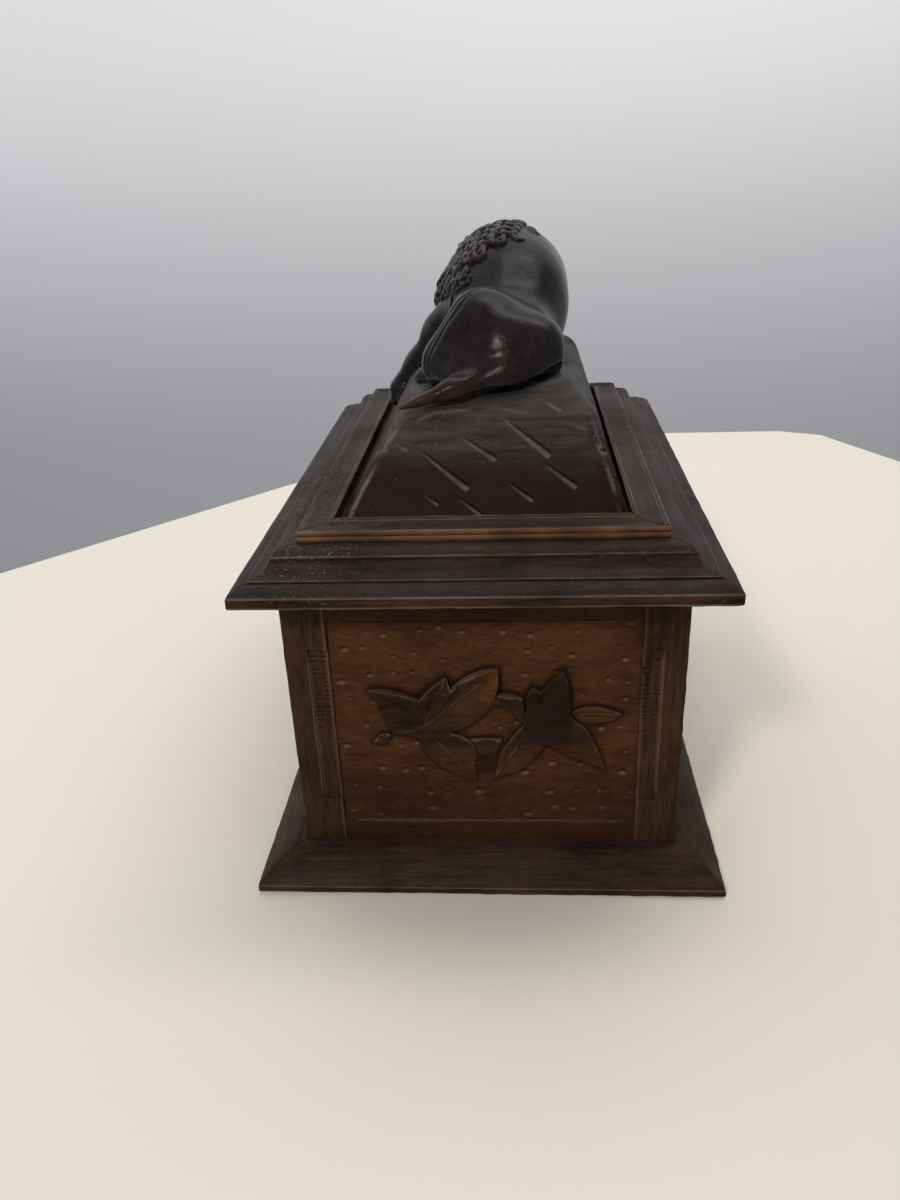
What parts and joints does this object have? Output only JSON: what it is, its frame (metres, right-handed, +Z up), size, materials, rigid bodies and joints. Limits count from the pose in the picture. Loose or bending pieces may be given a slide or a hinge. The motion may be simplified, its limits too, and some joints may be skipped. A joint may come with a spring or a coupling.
{
  "type": "jewelry box",
  "caption": "Carved wooden casket with leaf sprays on punched walls, a flared plinth, and a hinged, moulded lid that carries a lion resting on a rock.",
  "frame": {"origin": "middle of the plinth, on its underside", "axes": "+Z up, +Y along the length towards the lion's head, +X towards the hinge side"},
  "size_m": [0.124, 0.182, 0.1576],
  "materials": {
    "dark_wood": "dark stained, waxed",
    "panel_wood": "stained brown, waxed",
    "leaf_wood": "dark stained, waxed",
    "step_wood": "red-brown stain, worn",
    "rock_wood": "gouged, stained",
    "lion_wood": "dark stained, polished",
    "plain_wood": "bare",
    "velvet": "cut pile",
    "brass": "tarnished",
    "steel": "plain"
  },
  "bodies": {
    "box": {"bottom_board": "plain_wood", "escutcheon": "brass", "escutcheon_pins": "brass", "floor_lining": "velvet", "hinge_lower_leaf_head": "brass", "hinge_lower_leaf_tail": "brass", "hinge_lower_screws": "brass", "hinge_pin_head": "steel", "hinge_pin_tail": "steel", "leaves_head_end": "leaf_wood", "leaves_hinge_side": "leaf_wood", "leaves_lock_side": "leaf_wood", "leaves_tail_end": "leaf_wood", "lining_head_end": "velvet", "lining_hinge_side": "velvet", "lining_lock_side": "velvet", "lining_tail_end": "velvet", "lock_case": "brass", "lock_screws": "brass", "plinth_head_end": "dark_wood", "plinth_hinge_side": "dark_wood", "plinth_lock_side": "dark_wood", "plinth_tail_end": "dark_wood", "post_head_hinge": "dark_wood", "post_head_lock": "dark_wood", "post_tail_hinge": "dark_wood", "post_tail_lock": "dark_wood", "wall_head_end": "panel_wood", "wall_hinge_side": "panel_wood", "wall_lock_side": "panel_wood", "wall_tail_end": "panel_wood"},
    "lid": {"cornice_head_end": "dark_wood", "cornice_hinge_side": "dark_wood", "cornice_lock_side": "dark_wood", "cornice_tail_end": "dark_wood", "hinge_upper_leaf_head": "brass", "hinge_upper_leaf_tail": "brass", "hinge_upper_screws": "brass", "lid_board": "plain_wood", "lid_catch": "brass", "lid_catch_screws": "brass", "lid_lining": "velvet", "lion": "lion_wood", "rock": "rock_wood", "step_head_end": "step_wood", "step_hinge_side": "step_wood", "step_lock_side": "step_wood", "step_tail_end": "step_wood"},
    "bolt": {"lock_bolt": "steel"}
  },
  "joints": [
    {"name": "lid_hinge", "type": "hinge", "parent": "box", "child": "lid", "pos_m": [0.0524, 0, 0.08315], "axis": [0, 1, 0], "range_deg": [0, 105]},
    {"name": "bolt_slide", "type": "slide", "parent": "box", "child": "bolt", "axis": [0, 1, 0], "range_m": [0, 0.006]}
  ]
}
